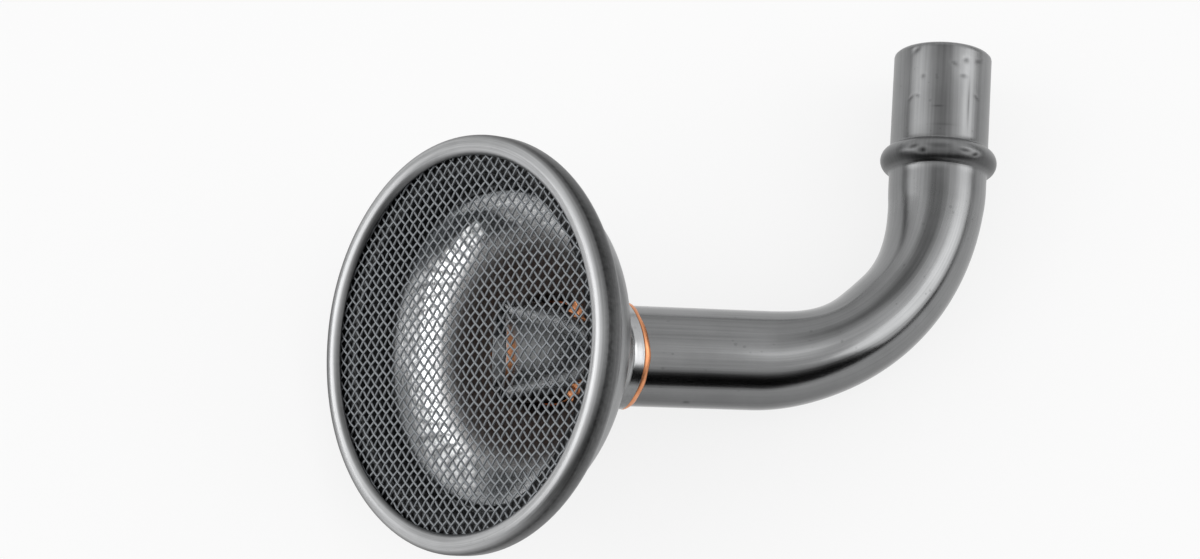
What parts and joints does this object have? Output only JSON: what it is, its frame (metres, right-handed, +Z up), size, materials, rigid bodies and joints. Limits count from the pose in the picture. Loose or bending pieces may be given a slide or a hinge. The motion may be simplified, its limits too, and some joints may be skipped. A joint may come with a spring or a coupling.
{
  "type": "oil pickup tube",
  "caption": "Bent steel suction tube with a beaded press-in end, copper brazed into a pressed bell whose rolled rim grips a woven wire screen.",
  "frame": {"origin": "centre of the bounding box, on the surface the part lies on", "axes": "+X runs from the bell along the first leg of the tube, +Y towards the press end, +Z up from the surface"},
  "size_m": [0.1112, 0.0854, 0.049],
  "materials": {
    "bell_steel": "satin pressed steel",
    "screen_wire": "dull woven wire",
    "tube_steel": "drawn steel with lengthwise streaks and press marks",
    "copper_braze": "copper coloured braze"
  },
  "bodies": {
    "root": {"bell": "bell_steel", "screen": "screen_wire", "pickup_tube": "tube_steel", "braze_joint": "copper_braze"}
  },
  "joints": []
}
